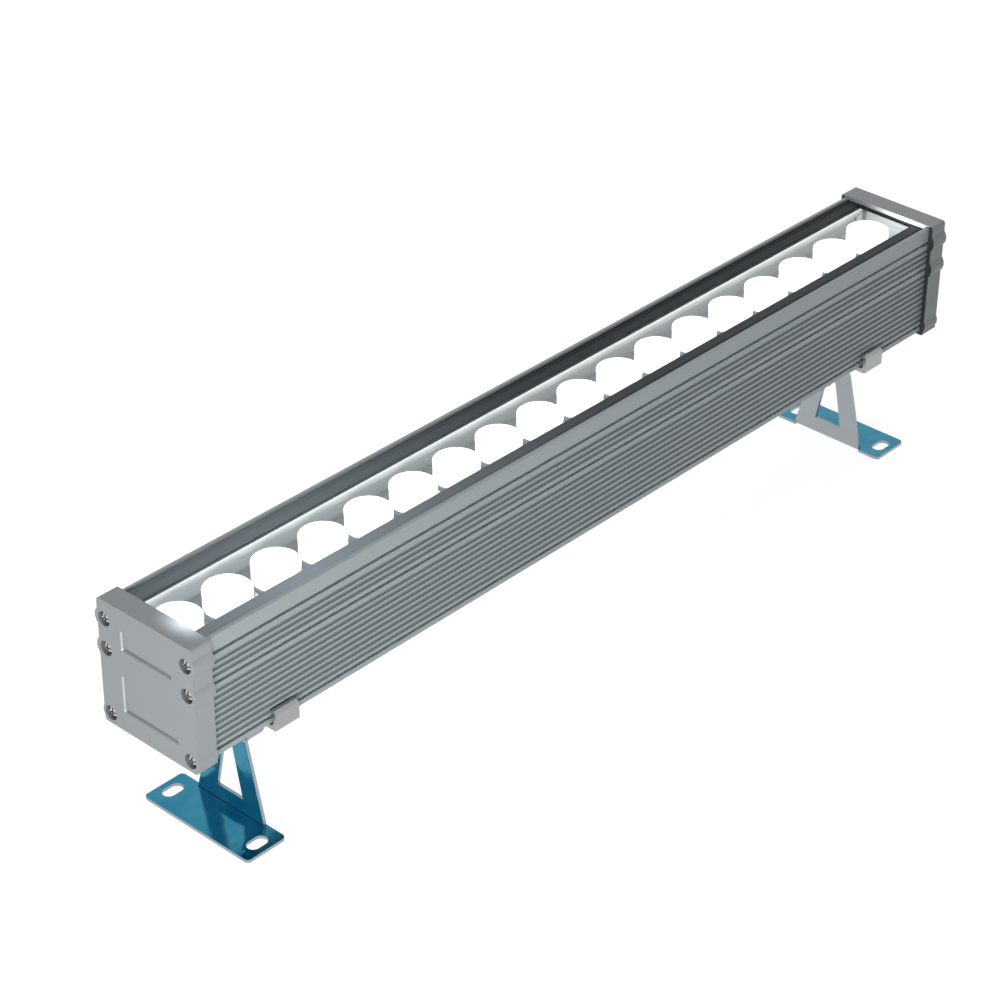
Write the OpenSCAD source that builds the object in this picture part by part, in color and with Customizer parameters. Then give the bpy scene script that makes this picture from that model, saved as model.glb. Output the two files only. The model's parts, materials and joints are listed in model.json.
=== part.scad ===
// Outdoor wall washer light: a finned aluminium extrusion with two cast end caps, a glazed
// top with a row of lit lenses, and two folded feet that hang from clamps on its bottom rails.
// Z = 0 is the underside of the feet. X runs along the lamp, with X = 0 and Y = 0 at the middle
// of the whole lamp, cable gland included.

/* [Housing] */
// Length of the extruded housing
housing_l = 486; // [430:1:1000]
// Width of the housing over its fins
housing_w = 51.2; // [48:0.1:56]
// Thickness of the rims that stand up beside the glazing
rim_t = 1.9; // [1.2:0.1:2.6]
// Depth of the glazing strips' top below the rims
rim_drop = 1.16; // [0.8:0.02:2.5]
// Thickness of the side walls, fins included
wall_t = 2.3; // [2:0.1:3]
// Thickness of the housing's floor
floor_t = 3.2; // [2:0.1:5]
// Thickness of the shelf that carries the LED board
shelf_t = 3; // [2:0.1:5]
// Height of the driver chamber, between the floor and the shelf
driver_room = 32.1; // [30:0.1:45]
// Thickness of the ledges under the glass
ledge_t = 3.6; // [1.5:0.1:4.2]
// Distance of the ledges' inner edges from the housing's sides
ledge_side = 9.2; // [8.6:0.1:11]
// Distance of the LED chamber's walls from the housing's sides
room_side = 5.3; // [5:0.1:6]
// Chamfer on the housing's long edges
edge_chamfer = 0.35; // [0.1:0.05:0.8]

/* [Fins and screw ports] */
// Height of the lower screw port above the housing's underside
port_low = 3.5; // [3.4:0.1:4]
// Height of the middle screw port above the housing's underside
port_mid = 35.6; // [30:0.1:38]
// Depth of the top screw port below the rims
port_top_drop = 8; // [7.5:0.1:10]
// Distance of the screw ports' axes from the side face
port_in = 1.7; // [1.5:0.1:2.2]
// Radius of the screw ports
port_r = 1.75; // [1.6:0.05:2]
// Width of the slot that opens each port to the side
port_mouth = 1.5; // [1.4:0.1:2.4]
// Least metal around a screw port
port_wall = 1.5; // [1:0.1:2]
// Distance between neighbouring fins
fin_pitch = 3.1; // [2.6:0.1:4]
// Width of the groove between two fins, at its mouth
fin_gap = 2; // [1.4:0.1:2.2]
// How much a groove's sides draw in towards its bottom, on each side
fin_slope = 0.45; // [0:0.05:0.6]
// Distance of the grooves below the middle between two ports
fin_shift = 0.4; // [0:0.1:0.5]
// Depth of the grooves between the fins
fin_depth = 0.9; // [0.5:0.1:1.2]

/* [End caps] */
// Thickness of an end cap outside the gasket
cap_body = 7; // [6:0.5:12]
// Length of a cap's skirt round the gasket and the housing
cap_skirt = 3.6; // [2.5:0.1:8]
// Distance of a cap's sides from the housing's sides, without the screw bosses
cap_side = 2.3; // [2:0.1:4]
// Height of a cap's underside below the housing
cap_below = 1.7; // [1:0.1:3]
// Height of a cap's top above the housing's rims
cap_above = 1.1; // [0.6:0.1:3]
// Radius of the cap's corners
cap_corner = 1.5; // [1:0.5:6]
// Radius of the four upper screw bosses on a cap's sides
boss_r = 5.5; // [5:0.05:6.5]
// Radius of the two lower screw bosses
low_boss_r = 4.75; // [4.5:0.05:6]
// Thickness of the cap's face over its inner pocket
cap_face = 3; // [2.5:0.5:5]
// Depth of the decorative grooves in a cap's face
mark_t = 0.8; // [0.4:0.1:1]
// Width of the decorative grooves
mark_w = 2.6; // [2.4:0.1:4]
// Clearance between a cap and the housing
cap_clear = 0.15; // [0.05:0.05:0.3]
// Thickness of the end gaskets
gasket_t = 1.5; // [1:0.1:3]

/* [Cap screws] */
// Radius of a cap screw's shank
screw_r = 1.6; // [1.2:0.05:1.6]
// Radius of a cap screw's head
screw_head_r = 3; // [2.6:0.1:3.2]
// Height of a cap screw's head
screw_head_h = 2; // [1.5:0.1:2.4]
// Length of a cap screw's shank
screw_l = 10; // [9:1:26]
// Depth of the pocket that a screw's head sits in
screw_sink = 2.6; // [1.5:0.1:3]

/* [Glazing] */
// Thickness of the cover glass
glass_t = 4; // [3:0.5:5]
// Distance of the glass's long edges from the housing's sides
glass_side = 4.8; // [4.6:0.1:6]
// Clearance around the glass's long edges
glass_clear = 0.2; // [0.1:0.05:0.4]
// Thickness of the black glazing strips
strip_t = 1; // [0.6:0.1:1.6]
// Distance of the glazing strips' inner edges from the housing's sides
strip_side = 9.4; // [8.8:0.1:10.5]
// Distance of the strips' thin beads from the housing's sides
bead_side = 4.4; // [3:0.1:6]
// Length of glass that an end seal covers in front of a cap
seal_show = 2; // [1:0.1:4]

/* [Optics] */
// Distance between neighbouring LEDs
led_pitch = 27; // [24:0.5:40]
// Distance of the first LED from the left end of the housing
led_end = 9.5; // [9:0.1:20]
// Thickness of the LED board
board_t = 1.6; // [1:0.1:3]
// Distance of the LED board's long edges from the housing's sides
board_side = 7.6; // [7:0.1:10]
// Height of a lens over the board
lens_h = 11.6; // [10:0.1:14]
// Radius of a lens
lens_r = 10.5; // [9:0.1:11]
// Thickness of a lens's top disc
lens_disc = 2; // [1:0.1:3]
// Gap between the lenses and the glass
lens_gap = 0.34; // [0.1:0.02:1]

/* [Driver] */
// Length of the driver
driver_l = 300; // [200:1:330]
// Distance of the driver from the housing's sides
driver_side = 6.6; // [6.5:0.1:10]
// Height of the driver
driver_h = 26; // [20:0.5:27]
// Thickness of the driver's case
driver_wall = 1.2; // [0.8:0.1:2]
// Thickness of the pad that bonds the driver to the floor
pad_t = 1; // [0.5:0.1:2]
// Distance of the driver from the right end of the housing
driver_end = 53; // [46:1:80]
// Gap between the driver and the terminal block
terminal_gap = 7; // [4:0.5:10]
// Radius of the inner leads
lead_r = 0.9; // [0.6:0.05:1]

/* [Cable gland] */
// Radius of the gland's thread
gland_r = 6; // [5:0.1:7]
// Width across the flats of the gland's flange
gland_flats = 15; // [14:0.5:18]
// Thickness of the gland's flange
gland_flange = 4; // [3:0.5:6]
// Length of the gland's clamping nut
gland_nut_l = 14; // [10:0.5:18]
// Radius of the cable that the gland's seal fits
cable_r = 3; // [2:0.1:3.5]
// Height of the gland above the housing's underside
gland_z = 18.5; // [16:0.5:24]

/* [Clamps] */
// Length of a clamp along the housing
clamp_l = 13; // [11:0.5:20]
// Distance of the left clamp's bolt from the left end of the housing
left_clamp_in = 40; // [36:0.5:150]
// Distance of the right clamp's bolt from the right end of the housing
right_clamp_in = 45.4; // [36:0.1:150]
// Thickness of a clamp's walls
clamp_wall = 2.2; // [1.5:0.1:2.5]
// Width of the space between a clamp's wall and the housing
clamp_space = 1.6; // [1:0.05:3]
// Clearance between a clamp and the rail that it slides on
rail_clear = 0.3; // [0.2:0.05:0.5]
// Thickness of the tongues that hold a clamp in the lower ports
tongue_t = 1.1; // [0.8:0.1:1.1]
// Length of a tongue inside its port
tongue_in = 1.5; // [1:0.1:2]
// Height of a clamp's side wall above the housing's underside
clamp_up = 6.2; // [5.8:0.1:7]
// Width of the block under a clamp
block_w = 16; // [12:0.5:24]
// Height of the block under a clamp
block_h = 11.7; // [9:0.1:20]

/* [Brackets] */
// Height of a bracket
bracket_h = 42.4; // [36:0.1:90]
// Thickness of the bracket's sheet
sheet_t = 1.5; // [1.2:0.1:3]
// Inner radius of the bends
bend_r = 1; // [0.5:0.1:1.5]
// Length of a foot along the housing
foot_l = 22; // [20:0.5:40]
// Width of a foot across the housing
foot_w = 64; // [62:0.5:90]
// Radius of a foot's corners
foot_corner = 2; // [1:0.5:5]
// Width of the upright where it meets the foot
upright_w = 40; // [32:0.5:42]
// Width of the tab on top of the upright
tab_w = 22; // [16:0.5:28]
// Length of the tab past the bolt
tab_end = 6.1; // [5.5:0.1:10]
// Radius of the tab's corners
tab_corner = 5; // [1:0.5:5]
// Distance of the bolt from the upright's inner face
bolt_in = 6.2; // [6.2:0.1:9]
// Length of a slot in a foot
slot_l = 10.5; // [8:0.5:14]
// Width of a slot in a foot
slot_w = 6.4; // [4:0.1:8]
// Width of the metal between a slot's end and the foot's end
slot_edge = 0.75; // [0.5:0.05:6]
// Height of the window's lower edge above the foot's underside
window_z = 9; // [7:0.5:12]
// Width of the window at its lower edge
window_low = 15.8; // [10:0.1:17]
// Width of the window at its upper edge
window_high = 4.8; // [2:0.1:8]
// Height of the upright's metal above the window
window_drop = 5.9; // [4:0.1:10]
// Thickness of the protective film on the bracket
film_t = 0.12; // [0.05:0.01:0.3]

/* [Bracket bolts] */
// Radius of a bolt's shank
bolt_r = 2.5; // [2:0.1:2.5]
// Width across the flats of a bolt's head
bolt_flats = 8; // [7:0.1:8]
// Height of a bolt's head
bolt_head = 3.5; // [3:0.1:4]
// Radius of the flat washer
washer_r = 5; // [4:0.1:5]
// Thickness of the flat washer
washer_t = 1; // [0.5:0.1:1.6]
// Thickness of the spring washer
spring_t = 1.3; // [0.8:0.1:1.6]
// Gap left between the bolt's tip and the housing
bolt_tip = 0.4; // [0.3:0.1:1]
// Clearance of the bolt in the bracket and in the clamp
bolt_clear = 0.05; // [0.02:0.01:0.1]
// Clearance between the tab and the clamp's block
seat_clear = 0.1; // [0.05:0.05:0.2]

/* [Hidden] */
$fn = 48;
cut = 1;

// Heights inside the housing, from its underside
shelf_z = floor_t + driver_room;
board_z = shelf_z + shelf_t;
lens_z = board_z + board_t;
glass_z = lens_z + lens_h + lens_gap;
ledge_z = glass_z - ledge_t;
strip_z = glass_z + glass_t;
lip_z = strip_z + strip_t;
housing_h = lip_z + rim_drop;
port_heights = [port_low, port_mid, housing_h - port_top_drop];
port_y = housing_w / 2 - port_in;
rim_y = housing_w / 2 - rim_t;
tube_r = port_r + port_wall;

// Widths that follow the housing's
driver_room_w = housing_w - 2 * wall_t;
room_w = housing_w - 2 * room_side;
ledge_window = housing_w - 2 * ledge_side;
glass_w = housing_w - 2 * glass_side;
board_w = housing_w - 2 * board_side;
driver_w = housing_w - 2 * driver_side;
cap_w = housing_w + 2 * cap_side;

// Where the housing lies in the lamp
block_z = bracket_h + seat_clear;
web_z = block_z + block_h;
housing_z = web_z + clamp_wall + rail_clear;
gland_out = gland_flange + gland_nut_l;
cap_l = cap_body + cap_skirt;
lamp_l = housing_l + 2 * (gasket_t + cap_body);
lamp_x = -gland_out / 2;
skirt_x = housing_l / 2 + gasket_t - cap_skirt;
face_x = lamp_l / 2;
cap_h = cap_below + housing_h + cap_above;

// The row of LEDs, from the left end of the housing
led_n = floor((housing_l - 2 * led_end) / led_pitch) + 1;
led_xs = [for (i = [0:led_n - 1]) led_end - housing_l / 2 + i * led_pitch];
board_l = (led_n - 1) * led_pitch + 2 * led_end;
board_x = (board_l - housing_l) / 2;
board_screw_r = 1.45;
board_screw_every = 4;
board_screw_xs = [for (i = [1:board_screw_every:led_n - 2]) led_xs[i] + led_pitch / 2];
board_screw_clear = 0.1;
board_screw_head_r = 2.5;
board_screw_head_h = 1.8;
board_screw_l = board_t + shelf_t + 1;
chip_w = 3.5;
chip_t = 0.8;
chip_dome_r = 1.5;
lens_hollow_r = 2.4;
lens_hollow_h = 4.5;
lens_foot_r = 4.2;
lens_foot_h = 1.4;
holder_wall = 1;
holder_floor = 1.2;
holder_floor_r = 5;
holder_r = lens_r - 0.1;
holder_h = lens_h - lens_disc;

// The driver, its terminals and its leads
driver_x = housing_l / 2 - driver_end - driver_l / 2;
driver_z = floor_t + pad_t;
driver_plate_t = 2;
terminal_l = 16;
terminal_w = 18;
terminal_h = 11;
terminal_x = driver_x + driver_l / 2 + terminal_gap + terminal_l / 2;
terminal_hole_r = 1.6;
lead_side = 5;
lead_pitch = 3;
lead_ys = [for (i = [0, 1]) lead_side - driver_w / 2 + i * lead_pitch];
lead_z = driver_z + driver_h / 2 + 3;
lead_up_x = housing_l / 2 - 3.5;
lead_hole_r = lead_r + 0.4;
pad_x = board_x + board_l / 2 - 4;

// The brackets and their bolts, from the bolt's axis, with the foot on the -X side
bend_out = bend_r + sheet_t;
foot_x = -bolt_in - foot_l;
slot_x = -bolt_in - foot_l / 2;
slot_y = foot_w / 2 - slot_edge - slot_l / 2;
upright_x = -bolt_in - sheet_t;
left_x = lamp_x - housing_l / 2 + left_clamp_in;
right_x = lamp_x + housing_l / 2 - right_clamp_in;
washers_t = washer_t + spring_t;
bolt_z = bracket_h - sheet_t - washers_t;
bolt_l = housing_z - bolt_tip - bolt_z;

// Places children in the housing's own frame, with its underside at Z = 0
module in_housing() {
    translate([lamp_x, 0, housing_z]) children();
}

// Draws a section, X to Y and Y to Z, and runs it along X from x for a length l
module along_x(x, l) {
    translate([x, 0, 0]) rotate([90, 0, 90]) linear_extrude(l) children();
}

// Copies a flat drawing to both sides of its Y axis
module both_halves() {
    children();
    mirror([1, 0]) children();
}

// Turns the left-hand version of an end piece into the right-hand one
module other_end() {
    mirror([1, 0, 0]) children();
}

// Rectangle centred on the Y axis of the drawing
module bar(w, y0, y1) {
    translate([-w / 2, y0]) square([w, y1 - y0]);
}

// Rectangle with rounded corners, centred across and standing on y0
module rounded_bar(w, y0, y1, r) {
    bar(w - 2 * r, y0, y1);
    bar(w, y0 + r, y1 - r);
    for (x = [r - w / 2, w / 2 - r], y = [y0 + r, y1 - r]) translate([x, y]) circle(r);
}

// Long hole along X, centred
module slot(l, w) {
    square([l - w, w], center = true);
    for (x = [(w - l) / 2, (l - w) / 2]) translate([x, 0]) circle(w / 2);
}

// Hexagonal prism with the given width across its flats, along Z
module hex(flats, h) {
    rotate([0, 0, 30]) cylinder(r = flats / sqrt(3), h = h, $fn = 6);
}

// Heights of the plain grooves that fill the space between two ports
function fin_heights(low, high) =
    let (n = floor((high - low - fin_pitch) / fin_pitch), mid = (low + high) / 2)
    [for (i = [0:n - 1]) mid - fin_shift + (i - (n - 1) / 2) * fin_pitch];

// One side's screw ports and the grooves between its fins
module side_grooves() {
    fins = concat(fin_heights(port_heights[0], port_heights[1]),
        fin_heights(port_heights[1], port_heights[2]));
    for (z = fins) {
        translate([housing_w / 2, z]) polygon([[cut, -fin_gap / 2], [cut, fin_gap / 2],
            [0, fin_gap / 2], [-fin_depth, fin_gap / 2 - fin_slope],
            [-fin_depth, fin_slope - fin_gap / 2], [0, -fin_gap / 2]]);
    }
    for (z = port_heights) translate([port_y, z]) {
        circle(port_r);
        translate([0, -port_mouth / 2]) square([port_in + cut, port_mouth]);
    }
}

module housing_outline() {
    w = housing_w / 2;
    c = edge_chamfer;
    polygon([[-w + c, 0], [w - c, 0], [w, c], [w, housing_h - c], [w - c, housing_h],
        [-w + c, housing_h], [-w, housing_h - c], [-w, c]]);
}

// Room for the driver, less the metal round the lower ports
module driver_chamber() {
    difference() {
        bar(driver_room_w, floor_t, shelf_z);
        both_halves() for (z = port_heights) translate([port_y, z]) circle(tube_r);
    }
}

module housing_section() {
    difference() {
        housing_outline();
        bar(2 * rim_y, strip_z, housing_h + cut);
        bar(glass_w + 2 * glass_clear, glass_z, strip_z + cut);
        bar(ledge_window, ledge_z - cut, glass_z + cut);
        bar(room_w, board_z, ledge_z);
        driver_chamber();
        both_halves() side_grooves();
    }
}

module housing() color([0.56, 0.58, 0.59]) in_housing() difference() {
    along_x(-housing_l / 2, housing_l) housing_section();
    for (x = board_screw_xs) translate([x, 0, shelf_z - cut]) {
        cylinder(r = board_screw_r + board_screw_clear, h = shelf_t + 2 * cut);
    }
    for (y = lead_ys) translate([lead_up_x, y, shelf_z - cut]) {
        cylinder(r = lead_hole_r, h = shelf_t + 2 * cut);
    }
}

// Outline of an end cap, with half-round bosses beside the screws
module cap_outline() {
    rounded_bar(cap_w, -cap_below, cap_h - cap_below, cap_corner);
    intersection() {
        both_halves() {
            translate([port_y, port_heights[0]]) circle(low_boss_r);
            for (i = [1, 2]) translate([port_y, port_heights[i]]) circle(boss_r);
        }
        bar(2 * (port_y + boss_r), -cap_below, cap_h);
    }
}

// Outline of the end of the housing, plus the lip's gap between its rims
module cap_socket() {
    difference() {
        bar(housing_w + 2 * cap_clear, -cap_clear, housing_h + cap_clear);
        bar(2 * (rim_y - cap_clear), lip_z, housing_h + cut);
    }
}

// Angled grooves in a cap's face: [height of the level leg, Y of the corner, Y of the level
// leg's end, length of the upright leg]
marks = [[9.3, 14.2, -15.8, 16], [40.1, 13.2, -13.9, 7.5]];
mark_r = (mark_t * mark_t + mark_w * mark_w / 4) / (2 * mark_t);
pocket_w = housing_w - 17;
pocket_low = 8;
pocket_high = 50;

// One angled groove, hollow in section and round at its ends and at its corner
module cap_mark(m) {
    translate([mark_t - mark_r, m[2], m[0]]) rotate([-90, 0, 0]) {
        cylinder(r = mark_r, h = m[1] - m[2]);
    }
    translate([mark_t - mark_r, m[1], m[0]]) cylinder(r = mark_r, h = m[3]);
    for (p = [[m[1], m[0]], [m[2], m[0]], [m[1], m[0] + m[3]]]) {
        translate([mark_t - mark_r, p[0], p[1]]) sphere(mark_r);
    }
}

// A cap for the left end, its face on the -X side
module end_cap() {
    difference() {
        along_x(-face_x, cap_l) cap_outline();
        translate([-face_x, 0, 0]) for (m = marks) cap_mark(m);
        along_x(-face_x + cap_body, cap_l) cap_socket();
        along_x(-face_x + cap_face, cap_body) bar(pocket_w, pocket_low, pocket_high);
        for (y = [-port_y, port_y], z = port_heights) translate([-face_x, y, z]) {
            rotate([0, 90, 0]) {
                translate([0, 0, -cut]) cylinder(r = screw_r + 0.2, h = cap_l);
                translate([0, 0, -cut]) cylinder(r = screw_head_r + 0.4, h = screw_sink + cut);
            }
        }
    }
}

module end_cap_left() color([0.62, 0.63, 0.64]) in_housing() end_cap();

module end_cap_right() color([0.5, 0.51, 0.52]) in_housing() difference() {
    other_end() end_cap();
    translate([face_x - cap_body, 0, gland_z]) rotate([0, 90, 0]) {
        cylinder(r = gland_r + 0.05, h = cap_body + cut);
    }
}

gasket_in = 0.4;
gasket_ring = 5;
gasket_low = 7;

module end_gasket() {
    along_x(-housing_l / 2 - gasket_t, gasket_t) difference() {
        bar(housing_w - 2 * gasket_in, gasket_in, lip_z - gasket_in);
        bar(housing_w - 2 * (gasket_in + gasket_ring), gasket_low, ledge_z + ledge_t);
        both_halves() for (z = port_heights) translate([port_y, z]) circle(screw_r + 0.2);
    }
}

module end_gasket_left() color([0.1, 0.1, 0.1]) in_housing() end_gasket();
module end_gasket_right() color([0.1, 0.1, 0.1]) in_housing() other_end() end_gasket();

// Pan head with a cross recess, head on the -X side, seat at X = 0
module cap_screw() {
    rotate([0, 90, 0]) difference() {
        union() {
            cylinder(r = screw_r, h = screw_l);
            translate([0, 0, -screw_head_h]) intersection() {
                cylinder(r = screw_head_r, h = screw_head_h);
                translate([0, 0, 2 * screw_head_r]) sphere(2 * screw_head_r);
            }
        }
        for (a = [0, 90]) rotate([0, 0, a]) translate([0, 0, -screw_head_h]) {
            cube([0.66 * screw_head_r * 2, 0.8, 2.4], center = true);
        }
    }
}

module cap_screws() {
    for (y = [-port_y, port_y], z = port_heights) {
        translate([-face_x + screw_sink, y, z]) cap_screw();
    }
}

module cap_screws_left() color([0.75, 0.75, 0.74]) in_housing() cap_screws();
module cap_screws_right() color([0.75, 0.75, 0.74]) in_housing() other_end() cap_screws();

module cover_glass() color([0.85, 0.92, 0.93, 0.35]) in_housing() {
    along_x(-housing_l / 2, housing_l) bar(glass_w, glass_z, strip_z);
}

// Long strip beside the window, with a thin bead along it
strip_end_x = skirt_x - seal_show;
strip_side_clear = 0.15;
bead_r = 0.3;

module glazing_strip() {
    in = housing_w / 2 - strip_side;
    out = rim_y - strip_side_clear;
    along_x(-strip_end_x, 2 * strip_end_x) {
        translate([in, strip_z]) square([out - in, strip_t]);
        translate([housing_w / 2 - bead_side, lip_z]) circle(bead_r);
    }
}

module glazing_strip_back() color([0.13, 0.14, 0.14]) in_housing() glazing_strip();
module glazing_strip_front() color([0.13, 0.14, 0.14]) in_housing() {
    mirror([0, 1, 0]) glazing_strip();
}

// Bar across the end of the glass, pressed down by the cap's lip
module end_seal() {
    along_x(-housing_l / 2, housing_l / 2 - strip_end_x) {
        bar(2 * (rim_y - strip_side_clear), strip_z, lip_z - 0.02);
    }
}

module end_seal_left() color([0.08, 0.08, 0.08]) in_housing() end_seal();
module end_seal_right() color([0.08, 0.08, 0.08]) in_housing() other_end() end_seal();

module led_board() color([0.88, 0.89, 0.87]) in_housing() difference() {
    translate([board_x - board_l / 2, -board_w / 2, board_z]) cube([board_l, board_w, board_t]);
    for (x = board_screw_xs) translate([x, 0, board_z - cut]) {
        cylinder(r = board_screw_r + board_screw_clear, h = board_t + 2 * cut);
    }
}

// Copies children to every LED, on top of the board
module at_leds() {
    for (x = led_xs) translate([x, 0, lens_z]) children();
}

module led_chips() color([0.93, 0.87, 0.45]) in_housing() at_leds() {
    translate([-chip_w / 2, -chip_w / 2, 0]) cube([chip_w, chip_w, chip_t]);
    intersection() {
        translate([0, 0, chip_t]) sphere(chip_dome_r, $fn = 24);
        cylinder(r = 2 * chip_dome_r, h = 2 * chip_dome_r);
    }
}

module lens_holders() color([0.93, 0.93, 0.92]) in_housing() at_leds() difference() {
    cylinder(r = holder_r, h = holder_h);
    translate([0, 0, holder_floor]) cylinder(r = holder_r - holder_wall, h = holder_h);
    translate([0, 0, -cut]) cylinder(r = holder_floor_r, h = holder_h);
}

module lenses() color([0.96, 0.98, 1]) in_housing() at_leds() rotate_extrude() {
    polygon([[0, lens_hollow_h], [lens_hollow_r, lens_hollow_h], [lens_hollow_r, lens_foot_h],
        [lens_foot_r, lens_foot_h], [holder_r - holder_wall - 0.2, holder_h],
        [lens_r, holder_h], [lens_r, lens_h], [0, lens_h]]);
}

module board_screws() color([0.78, 0.78, 0.77]) in_housing() {
    for (x = board_screw_xs) translate([x, 0, lens_z]) difference() {
        union() {
            cylinder(r = board_screw_head_r, h = board_screw_head_h);
            translate([0, 0, -board_screw_l]) cylinder(r = board_screw_r, h = board_screw_l);
        }
        for (a = [0, 90]) rotate([0, 0, a]) translate([0, 0, board_screw_head_h]) {
            cube([board_screw_head_r * 1.3, 0.7, 1.6], center = true);
        }
    }
}

module driver_case() color([0.7, 0.71, 0.72]) in_housing() {
    along_x(driver_x - driver_l / 2, driver_l) difference() {
        bar(driver_w, driver_z, driver_z + driver_h);
        bar(driver_w - 2 * driver_wall, driver_z + driver_wall,
            driver_z + driver_h - driver_wall);
    }
}

module driver_end_plates() color([0.2, 0.2, 0.22]) in_housing() {
    for (x = [-driver_l / 2 - driver_plate_t, driver_l / 2]) {
        along_x(driver_x + x, driver_plate_t) bar(driver_w, driver_z, driver_z + driver_h);
    }
}

// Circuit board in the driver with its transformer and capacitors
driver_board_t = 1.6;
driver_board_l = driver_l - 6;
core_size = [28, 22, 0.69 * driver_h];
capacitor_r = 7;
capacitor_h = 0.65 * driver_h;

module driver_board() color([0.25, 0.45, 0.3]) in_housing() {
    w = driver_w - 2 * driver_wall;
    z = driver_z + driver_wall;
    top = z + driver_board_t;
    translate([driver_x - driver_board_l / 2, -w / 2, z]) {
        cube([driver_board_l, w, driver_board_t]);
    }
    translate([driver_x - core_size[0] / 2, -core_size[1] / 2, top]) cube(core_size);
    for (x = [-0.38, -0.32, 0.3]) translate([driver_x + x * driver_board_l, 0, top]) {
        cylinder(r = capacitor_r, h = capacitor_h);
    }
}

pad_in = 5;

module driver_pad() color([0.6, 0.62, 0.68]) in_housing() {
    along_x(driver_x - driver_l / 2 + pad_in, driver_l - 2 * pad_in) {
        bar(driver_w - 4, floor_t, driver_z);
    }
}

module terminal_block() color([0.92, 0.92, 0.9]) in_housing() difference() {
    translate([terminal_x - terminal_l / 2, -terminal_w / 2, floor_t]) {
        cube([terminal_l, terminal_w, terminal_h]);
    }
    for (y = [-1, 0, 1]) {
        translate([terminal_x, y * 5.5, floor_t + 4]) rotate([0, 90, 0]) {
            cylinder(r = terminal_hole_r, h = 2 * terminal_l, center = true);
        }
        translate([terminal_x, y * 5.5, floor_t + 6]) cylinder(r = 1.8, h = terminal_h);
    }
}

// Two leads from the driver into the terminal block
module input_leads() color([0.45, 0.28, 0.15]) in_housing() {
    x0 = driver_x + driver_l / 2 + driver_plate_t;
    for (y = [-5.5, 5.5]) translate([x0, y, floor_t + 4]) rotate([0, 90, 0]) {
        cylinder(r = lead_r, h = terminal_x - x0);
    }
}

// Two leads from the driver, up through the shelf and back onto the board
module output_leads() color([0.75, 0.12, 0.1]) in_housing() {
    x0 = driver_x + driver_l / 2 + driver_plate_t;
    z1 = lens_z + lead_r;
    for (y = lead_ys) {
        translate([x0, y, lead_z]) rotate([0, 90, 0]) cylinder(r = lead_r, h = lead_up_x - x0);
        translate([lead_up_x, y, lead_z]) cylinder(r = lead_r, h = z1 - lead_z);
        translate([pad_x, y, z1]) rotate([0, 90, 0]) cylinder(r = lead_r, h = lead_up_x - pad_x);
        for (z = [lead_z, z1]) translate([lead_up_x, y, z]) sphere(lead_r);
    }
}

// Places the gland with its axis along +X and its flange's seat at Z = 0 of the children
module at_gland() {
    in_housing() translate([face_x, 0, gland_z]) rotate([0, 90, 0]) children();
}

thread_l = cap_face + 5.5;
seal_r = cable_r + 1.6;
seal_l = 10;
ring_t = 1;
nut_r = gland_r + 1.4;
nut_face = 4;

module gland_body() color([0.12, 0.12, 0.12]) at_gland() difference() {
    union() {
        translate([0, 0, ring_t]) hex(gland_flats, gland_flange - ring_t);
        translate([0, 0, -thread_l]) cylinder(r = gland_r - 0.05, h = thread_l + gland_flange);
        translate([0, 0, gland_flange]) cylinder(r = gland_r - 0.4, h = gland_nut_l - nut_face - 0.5);
    }
    translate([0, 0, -thread_l - cut]) cylinder(r = seal_r + 0.05, h = thread_l + gland_out);
}

module gland_o_ring() color([0.05, 0.05, 0.05]) at_gland() difference() {
    cylinder(r = gland_r + 1.2, h = ring_t);
    translate([0, 0, -cut]) cylinder(r = gland_r - 0.05, h = ring_t + 2 * cut);
}

module gland_nut() color([0.14, 0.14, 0.14]) at_gland() difference() {
    translate([0, 0, gland_flange]) union() {
        hex(gland_flats - 1, 7);
        rotate_extrude() polygon([[0, 0], [nut_r - 0.6, 0], [nut_r - 0.6, gland_nut_l - nut_face],
            [nut_r - 2.4, gland_nut_l], [0, gland_nut_l]]);
    }
    translate([0, 0, gland_flange - cut]) {
        cylinder(r = gland_r - 0.35, h = gland_nut_l - nut_face + cut);
        cylinder(r = cable_r + 0.9, h = gland_nut_l + 2 * cut);
    }
}

module gland_seal() color([0.2, 0.2, 0.2]) at_gland() difference() {
    translate([0, 0, gland_out - nut_face - seal_l]) cylinder(r = seal_r, h = seal_l);
    cylinder(r = cable_r, h = gland_out);
}

module gland_locknut() color([0.15, 0.15, 0.15]) at_gland() difference() {
    translate([0, 0, -cap_face - 3]) hex(gland_flats + 1, 3);
    translate([0, 0, -cap_face - 3 - cut]) cylinder(r = gland_r, h = 3 + 2 * cut);
}

// Section of a clamp: a web under the rails, side walls with tongues, and a block in the middle
module clamp_section() {
    in = housing_w / 2 + clamp_space;
    out = in + clamp_wall;
    top = housing_z + clamp_up;
    corner = clamp_wall * 0.75;
    lip_in = housing_w / 2 + rail_clear;
    bar(block_w, block_z, web_z + cut);
    bar(2 * (out - corner), web_z, web_z + clamp_wall);
    both_halves() {
        translate([out - corner, web_z + corner]) circle(corner);
        polygon([[in, web_z + corner], [out, web_z + corner], [out, top], [in + 0.4, top + 1],
            [lip_in, top + 1], [lip_in, top - 0.3], [in, top - 0.8]]);
        translate([housing_w / 2 - tongue_in, housing_z + port_low - tongue_t / 2]) {
            square([in - housing_w / 2 + tongue_in + clamp_wall / 2, tongue_t]);
        }
    }
}

module clamp() difference() {
    along_x(-clamp_l / 2, clamp_l) clamp_section();
    translate([0, 0, block_z - cut]) cylinder(r = bolt_r + bolt_clear, h = housing_z);
}

// Places children at a bracket's bolt, the foot towards the lamp's end
module at_left() {
    translate([left_x, 0, 0]) children();
}

module at_right() {
    translate([right_x, 0, 0]) rotate([0, 0, 180]) children();
}

module clamp_left() color([0.7, 0.7, 0.69]) at_left() clamp();
module clamp_right() color([0.62, 0.63, 0.62]) at_right() clamp();

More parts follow.
